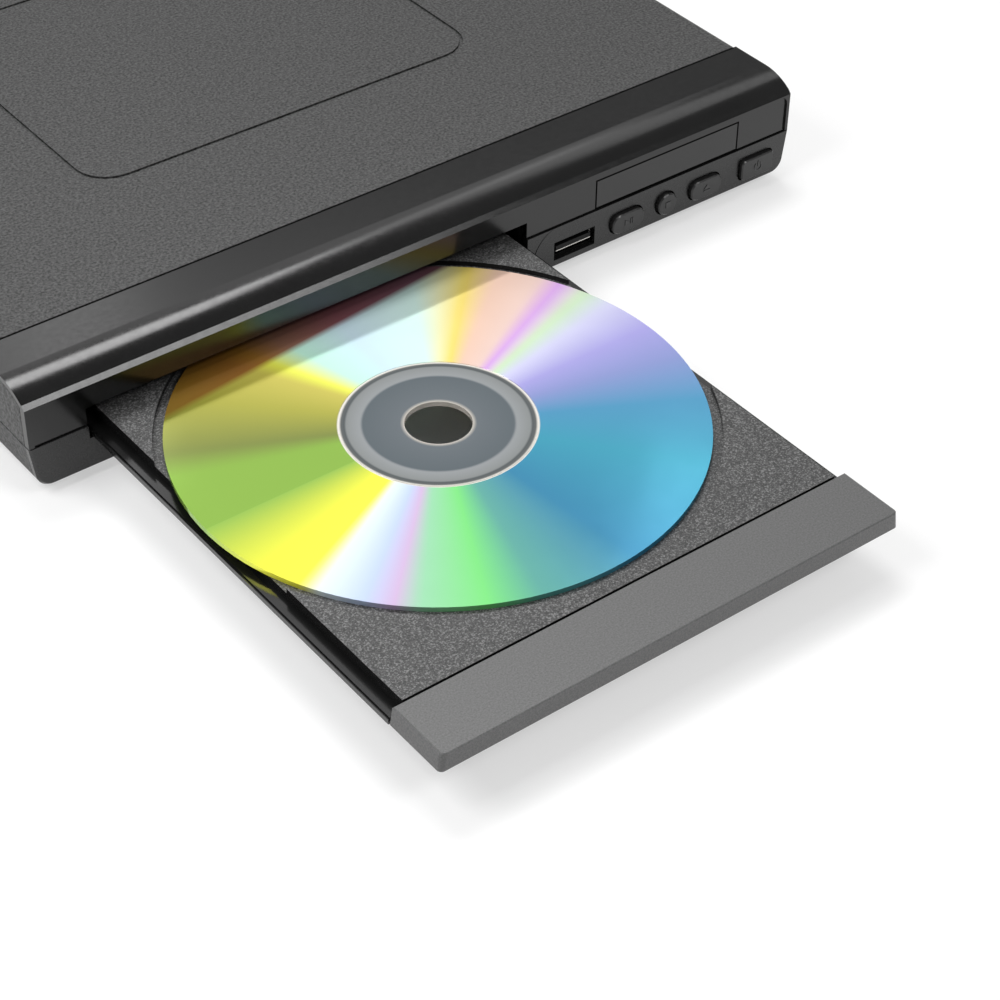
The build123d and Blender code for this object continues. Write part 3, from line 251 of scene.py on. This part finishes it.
# From the hole outwards, as (radius in mm, colour): clear hub, moulded ring, stacking ring.
HUB = [
    (7.4, (196, 190, 180)), (8.4, (92, 100, 106)), (16.6, (80, 90, 96)), (17.2, (140, 144, 146)),
    (20.2, (126, 130, 130)), (20.6, (70, 76, 78)), (21.4, (84, 88, 88)), (21.8, (224, 220, 212)),
]
COLOR_START = 22.2                        # where the recorded area starts, mm


def disc_tone(color):
    return tuple(COLOR_LEVEL * c for c in tone(*color))


def disc_painted_sheen(mat, vector):
    """The recorded area's painted diffraction sheen, which turns with the angle, with a painted red
    reflection of the body along one edge.
    """
    around = add(mat, "ShaderNodeTexGradient")
    around.gradient_type = "RADIAL"
    link(mat, vector, around.inputs["Vector"])
    stops = sorted(((angle / 360.0 + 0.5) % 1.0, disc_tone(color)) for angle, color in PAINTED_DIFFRACTION_SHEEN)
    seam_color = tuple((a + b) / 2.0 for a, b in zip(stops[0][1], stops[-1][1]))
    # painted diffraction sheen: colours by angle round the axis
    painted_sheen = ramp(mat, around.outputs["Fac"], [(0.0, seam_color)] + stops[1:])

    place = separate(mat, vector)
    leaning = math_node(mat, "MULTIPLY", place["X"], -REFLECTION_SLOPE)
    towards_body = math_node(mat, "ADD", place["Y"], leaning)
    # painted reflection of the body: red tint along the edge nearest it
    reflection_share = spread(mat, towards_body, 0.0, 0.9, REFLECTION_Y - 0.8 * MM, REFLECTION_Y + 1.2 * MM)
    across = spread(mat, place["X"], 0.0, 1.0, -DISC_R, DISC_R)
    reflection_stops = [((x * MM + DISC_R) / (2 * DISC_R), disc_tone(color)) for x, color in PAINTED_BODY_REFLECTION]
    return mix_color(mat, reflection_share, painted_sheen, ramp(mat, across, reflection_stops))


def disc_face():
    """Mirror layer with its painted diffraction sheen and a painted reflection of the body, round a
    clear hub.
    """
    mat = material("disc_painted_sheen", grey(0.5), 0.1, metallic=0.5)
    inputs = principled(mat).inputs
    vector, distance = distance_from(mat, DISC_CENTRE, scale=(1.0, 1.0, 0.0))
    radius = math_node(mat, "MULTIPLY", distance, 1.0 / DISC_R)
    share = MM / DISC_R                   # of the radius, for a millimetre
    hub = ramp(mat, radius, [(r * share, tone(*color)) for r, color in HUB])
    recorded = spread(mat, radius, 0.0, 1.0, (COLOR_START - 0.15) * share, (COLOR_START + 0.15) * share)
    color = mix_color(mat, recorded, hub, disc_painted_sheen(mat, vector))
    link(mat, color, inputs["Base Color"])
    link(mat, spread(mat, recorded, 0.2, 0.5, 0.0, 1.0), inputs["Metallic"])
    link(mat, spread(mat, noise(mat, 120.0), 0.09, 0.13), inputs["Roughness"])
    return mat


def lens_glass():
    mat = material("lens_clear", (0.5, 0.55, 0.75), 0.03, specular=0.8)
    tint = ramp(mat, noise(mat, 300.0), [(0.3, (0.35, 0.4, 0.7)), (0.7, (0.5, 0.45, 0.75))])
    link(mat, tint, principled(mat).inputs["Base Color"])
    return mat


LOOKS = {
    "cover": grained("cover_grain", grey(0.004), grey(0.068), 0.5, 1500.0, 0.7),
    "case": grained("case_grain", grey(0.012), grey(0.07), 0.55, 1500.0, 0.5),
    "tray": tray_plastic(),
    "lip": grained("lip_grain", grey(0.075), grey(0.115), 0.4, 2500.0, 0.12),
    "bezel": smooth("bezel_gloss", grey(0.003), grey(0.005), 0.17),
    "fascia": smooth("fascia_satin", grey(0.006), grey(0.01), 0.26),
    "window": smooth("window_tint", grey(0.008), grey(0.012), 0.1),
    "button": smooth("button_satin", grey(0.012), grey(0.018), 0.3),
    "mark": smooth("button_mark", grey(0.022), grey(0.035), 0.3),
    # painted shade: a near-black rough sheet for the shade in the gaps round the window and behind the
    # bezel
    "gap_shade": smooth("painted_gap_shade", grey(0.001), grey(0.002), 0.9, specular=0.05),
    "cavity": smooth("socket_black", grey(0.003), grey(0.005), 0.5, specular=0.2),
    "black": smooth("moulded_black", grey(0.012), grey(0.02), 0.4),
    "chassis": grained("chassis_black", grey(0.01), grey(0.02), 0.5, 900.0, 0.2),
    "acetal": smooth("acetal_white", (0.68, 0.66, 0.6), (0.78, 0.76, 0.7), 0.4),
    "white": smooth("insulator_white", grey(0.72), grey(0.8), 0.4),
    "yellow": smooth("insulator_yellow", (0.72, 0.5, 0.02), (0.8, 0.58, 0.03), 0.4),
    "red": smooth("insulator_red", (0.45, 0.02, 0.02), (0.55, 0.03, 0.03), 0.4),
    "rubber": grained("rubber_black", grey(0.012), grey(0.025), 0.8, 1800.0, 0.3),
    "steel": metal("plated_steel", grey(0.5), grey(0.62), 0.3, (1.0, 8.0, 1.0)),
    "dark_steel": metal("socket_steel", grey(0.1), grey(0.2), 0.35, (1.0, 8.0, 1.0)),
    "nickel": metal("nickel_plate", (0.62, 0.6, 0.56), (0.72, 0.7, 0.66), 0.16),
    "board": smooth("board_mask", (0.01, 0.09, 0.03), (0.02, 0.14, 0.05), 0.35),
    "ribbon": smooth("ribbon_white", grey(0.6), grey(0.72), 0.5),
    "foil": smooth("winding_tape", (0.65, 0.45, 0.05), (0.75, 0.55, 0.1), 0.4),
    "lens": lens_glass(),
    "disc": disc_face(),
}

NODE_LOOKS = {
    "cover": "top_cover",
    "case": "bottom_case",
    "tray": "disc_tray",
    "lip": "tray_front",
    "disc": "disc",
    "bezel": "front_bezel",
    "fascia": "lower_fascia control_panel",
    "window": "display_window",
    "button": "play_button stop_button eject_button power_button",
    "cavity": "usb_tongue",
    "dark_steel": "usb_shell",
    "black": "rear_panel av_jack_housing hdmi_tongue power_inlet tact_switches display_module"
             " remote_receiver chips capacitors turntable pickup clamp_puck",
    "rubber": "feet drive_belt turntable_mat",
    "chassis": "loader_chassis traverse_plate",
    "acetal": "drive_gear pulley_gear cam_slider",
    "white": "left_audio_insert motor_pulley",
    "yellow": "video_jack_insert",
    "red": "right_audio_insert",
    "steel": "hdmi_shell case_screws loader_screws loading_motor guide_rods spindle_motor"
             " lead_screw sled_motor clamp_bridge",
    "nickel": "av_jack_sleeves inlet_pins",
    "board": "front_board main_board power_board",
    "ribbon": "front_ribbon",
    "foil": "transformer",
    "lens": "pickup_lens",
}
for look, names in NODE_LOOKS.items():
    for name in names.split():
        slots = NODES[name].data.materials
        slots.clear()
        slots.append(LOOKS[look])


# ---------------------------------------------------------------- small pieces
def piece(name, mesh_data, look, body):
    """Turn a bmesh into an object with a look, riding on a body."""
    mesh = bpy.data.meshes.new(name)
    bmesh.ops.recalc_face_normals(mesh_data, faces=mesh_data.faces)
    mesh_data.to_mesh(mesh)
    mesh_data.free()
    mesh.materials.append(LOOKS[look])
    obj = bpy.data.objects.new(name, mesh)
    bpy.context.scene.collection.objects.link(obj)
    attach(obj, body)
    return obj


def front_prism(mesh_data, outline, back, front):
    """Add a prism with an outline of (x, z) points, between two depths in y."""
    rings = [[mesh_data.verts.new((x, y, z)) for x, z in outline] for y in (back, front)]
    mesh_data.faces.new(rings[0])
    mesh_data.faces.new(rings[1])
    for i in range(len(outline)):
        j = (i + 1) % len(outline)
        mesh_data.faces.new((rings[0][i], rings[0][j], rings[1][j], rings[1][i]))


def mark(name, body, centre_x, outlines):
    """A raised sign on a button, from outlines in millimetres about its centre."""
    mesh_data = bmesh.new()
    for outline in outlines:
        points = [(centre_x + x * MM, BUTTON_Z + z * MM) for x, z in outline]
        front_prism(mesh_data, points, BUTTON_Y + MARK_ROOT, BUTTON_Y - MARK_RISE)
    return piece(name, mesh_data, "mark", body)


def bar(x0, x1, z0, z1):
    return [(x0, z0), (x1, z0), (x1, z1), (x0, z1)]


def arc_band(radius, width, start, end, steps=16):
    """Outline of an arc-shaped band; angles in degrees from +x."""
    angles = [math.radians(start + (end - start) * i / steps) for i in range(steps + 1)]
    outer = [(radius * math.cos(a), radius * math.sin(a)) for a in angles]
    inner = [((radius - width) * math.cos(a), (radius - width) * math.sin(a)) for a in angles]
    return outer + inner[::-1]


def button_marks():
    """Play and pause, stop, eject, and power."""
    mark("play_mark", "play", PLAY_X, [[(-1.3, -0.8), (0.1, 0.0), (-1.3, 0.8)],
                                       bar(0.45, 0.75, -0.8, 0.8), bar(1.05, 1.35, -0.8, 0.8)])
    mark("stop_mark", "stop", STOP_X, [bar(-0.8, 0.8, -0.8, 0.8)])
    mark("eject_mark", "eject", EJECT_X, [[(-1.1, -0.1), (1.1, -0.1), (0.0, 1.0)],
                                          bar(-1.1, 1.1, -0.8, -0.45)])
    mark("power_mark", "power", POWER_X, [arc_band(1.3, 0.3, 125.0, 415.0), bar(-0.15, 0.15, 0.1, 1.6)])


def window_shade_line():
    """Painted shade line round the window, where the gap's shade falls: a near-black strip on the rim
    of its front face, a hair proud.
    """
    window = NODES["display_window"]
    front_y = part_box("display_window")[0][1]
    mesh_data = bmesh.new()
    mesh_data.from_mesh(window.data)
    others = [f for f in mesh_data.faces
              if f.normal.y > -0.9 or f.calc_center_median().y > front_y + 0.00005]
    bmesh.ops.delete(mesh_data, geom=others, context="FACES")
    bmesh.ops.dissolve_limit(mesh_data, angle_limit=0.02, verts=mesh_data.verts, edges=mesh_data.edges)
    inner = list(mesh_data.faces)
    bmesh.ops.inset_region(mesh_data, faces=inner, thickness=WINDOW_SHADE_W, use_boundary=True)
    bmesh.ops.delete(mesh_data, geom=inner, context="FACES")
    walls = bmesh.ops.extrude_face_region(mesh_data, geom=list(mesh_data.faces))
    raised = [v for v in walls["geom"] if isinstance(v, bmesh.types.BMVert)]
    bmesh.ops.translate(mesh_data, verts=raised, vec=(0.0, -PROUD, 0.0))
    return piece("window_shade_line", mesh_data, "gap_shade", "base")


def seam_shade_line():
    """Painted shade line between cover and bezel, where the gap's shade falls: open slivers of the
    bezel's end, on its top only.
    """
    # painted shade in the gap between cover and bezel
    seam_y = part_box("front_bezel")[1][1]
    mesh_data = bmesh.new()
    mesh_data.from_mesh(NODES["front_bezel"].data)
    everything = list(mesh_data.verts) + list(mesh_data.edges) + list(mesh_data.faces)
    bmesh.ops.bisect_plane(mesh_data, geom=everything, plane_co=(0.0, seam_y - SEAM_SHADE_W, 0.0),
                           plane_no=(0.0, 1.0, 0.0), clear_inner=True)
    low = [v for v in mesh_data.verts if v.co.z < SEAM_LOW]
    bmesh.ops.delete(mesh_data, geom=low, context="VERTS")
    mesh_data.normal_update()
    for vertex in mesh_data.verts:
        vertex.co += Vector((vertex.normal.x, 0.0, vertex.normal.z)) * PROUD
    return piece("seam_shade_line", mesh_data, "gap_shade", "base")


def socket_details():
    """Tip of the socket's tongue, the bright edge under it, and a spring of the shell."""
    left, right = SOCKET_X - TONGUE_HALF, SOCKET_X + TONGUE_HALF
    low, high = TONGUE_Z
    for name, look, outline, front in (
            ("socket_tongue_tip", "cavity", bar(left, right, low, high), TIP_Y),
            ("socket_tongue_edge", "nickel", bar(left, right, low - EDGE_T, low), TIP_Y),
            ("socket_spring", "nickel",
             bar(right + 0.2 * MM, right + 0.5 * MM, low + 0.4 * MM, low + 1.8 * MM),
             TONGUE_Y - 0.8 * MM)):
        mesh_data = bmesh.new()
        front_prism(mesh_data, outline, TONGUE_Y + 0.2 * MM, front)
        piece(name, mesh_data, look, "base")


button_marks()
window_shade_line()
seam_shade_line()
socket_details()


# ---------------------------------------------------------------- stage, lights and camera
STAGE_R, WALL_H = 3.5, 0.9                # radius of the floor, height of the wall round it
NEAR_FLOOR, FAR_FLOOR = 0.30, 0.80        # from the disc, where the floor turns plain white
SKY_LEVEL = 0.28
# Lamps by name: place, size, and how bright the face is.
SOFTBOXES = {
    "overhead": ((0.20, 0.47, 1.10), (0.64, 0.34), 9.5),
    "overhead_side": ((0.84, 0.44, 1.08), (0.60, 0.34), 1.4),
    "back_panel": ((0.62, 0.86, 1.00), (0.62, 0.38), 0.85),
    "back_left": ((0.27, 0.99, 0.78), (0.34, 0.24), 1.5),
    "front_box": ((0.32, -0.78, 0.88), (0.52, 0.28), 8.5),
    "left_box": ((-0.34, 0.00, 0.40), (0.25, 0.25), 7.5),
}
CAMERA_LENS = 90.16                       # mm
CAMERA_PLACE = (-0.290245, -0.429995, 0.354092)
CAMERA_TURN = (50.12087, -0.65613, -37.48691)     # degrees


def background_rays(mat):
    """1 where the camera, a reflection or glass looks, and 0 for light on the object."""
    path = add(mat, "ShaderNodeLightPath").outputs
    looked_at = math_node(mat, "MAXIMUM", path["Is Camera Ray"], path["Is Glossy Ray"])
    return math_node(mat, "MAXIMUM", looked_at, path["Is Transmission Ray"])


def stage_white(name, share=None):
    """White that is lit as the object is, and looks plain white by a share of 0 to 1."""
    mat = material(name, grey(0.97), 0.9, specular=0.0)
    seen = background_rays(mat)
    if share:
        seen = math_node(mat, "MULTIPLY", seen, share(mat))
    white = add(mat, "ShaderNodeEmission")
    mixed = add(mat, "ShaderNodeMixShader")
    link(mat, seen, mixed.inputs["Fac"])
    link(mat, principled(mat).outputs["BSDF"], mixed.inputs[1])
    link(mat, white.outputs["Emission"], mixed.inputs[2])
    link(mat, mixed.outputs["Shader"], mat.node_tree.nodes["Material Output"].inputs["Surface"])
    return mat


def floor_share(mat):
    """Nothing under the disc's hole, half round the object, all of it far away."""
    from_disc = distance_from(mat, DISC_CENTRE)[1]
    near = spread(mat, from_disc, 0.0, 0.5, 0.6 * DISC_R, 0.95 * DISC_R)
    far = spread(mat, from_disc, 0.0, 0.5, NEAR_FLOOR, FAR_FLOOR)
    return math_node(mat, "ADD", near, far)


def backdrop():
    """A white floor, and a low round wall far behind it on every side."""
    bpy.ops.mesh.primitive_circle_add(vertices=96, radius=STAGE_R, fill_type="NGON")
    floor = bpy.context.object
    floor.name = "floor"
    floor.data.materials.append(stage_white("floor_white", floor_share))
    bpy.ops.mesh.primitive_cylinder_add(vertices=96, radius=STAGE_R, depth=WALL_H,
                                        end_fill_type="NOTHING", location=(0.0, 0.0, WALL_H / 2))
    wall = bpy.context.object
    wall.name = "wall"
    wall.data.materials.append(stage_white("wall_white"))


def sky(strength):
    world = bpy.data.worlds.new("studio")
    bpy.context.scene.world = world
    world.use_nodes = True
    background = world.node_tree.nodes["Background"]
    background.inputs["Color"].default_value = (1.0, 1.0, 1.0, 1.0)
    background.inputs["Strength"].default_value = strength


def softbox(name, location, size, radiance):
    """A rectangular lamp that faces the object, given by how bright its face is."""
    data = bpy.data.lights.new(name, "AREA")
    data.shape = "RECTANGLE"
    data.size, data.size_y = size
    data.energy = radiance * math.pi * size[0] * size[1]
    lamp = bpy.data.objects.new(name, data)
    lamp.location = location
    lamp.rotation_euler = (-Vector(location)).to_track_quat("-Z", "Y").to_euler()
    bpy.context.scene.collection.objects.link(lamp)


def photo_camera():
    camera = bpy.data.objects.new("camera", bpy.data.cameras.new("camera"))
    camera.data.lens = CAMERA_LENS
    camera.data.sensor_width = 36.0
    camera.data.clip_start = 0.01
    camera.location = CAMERA_PLACE
    camera.rotation_euler = Euler([math.radians(angle) for angle in CAMERA_TURN], "XYZ")
    bpy.context.scene.collection.objects.link(camera)
    bpy.context.scene.camera = camera


backdrop()
sky(SKY_LEVEL)
for lamp_name, (place, size, radiance) in SOFTBOXES.items():
    softbox(lamp_name, place, size, radiance)
photo_camera()
bpy.context.scene.view_settings.view_transform = "Standard"
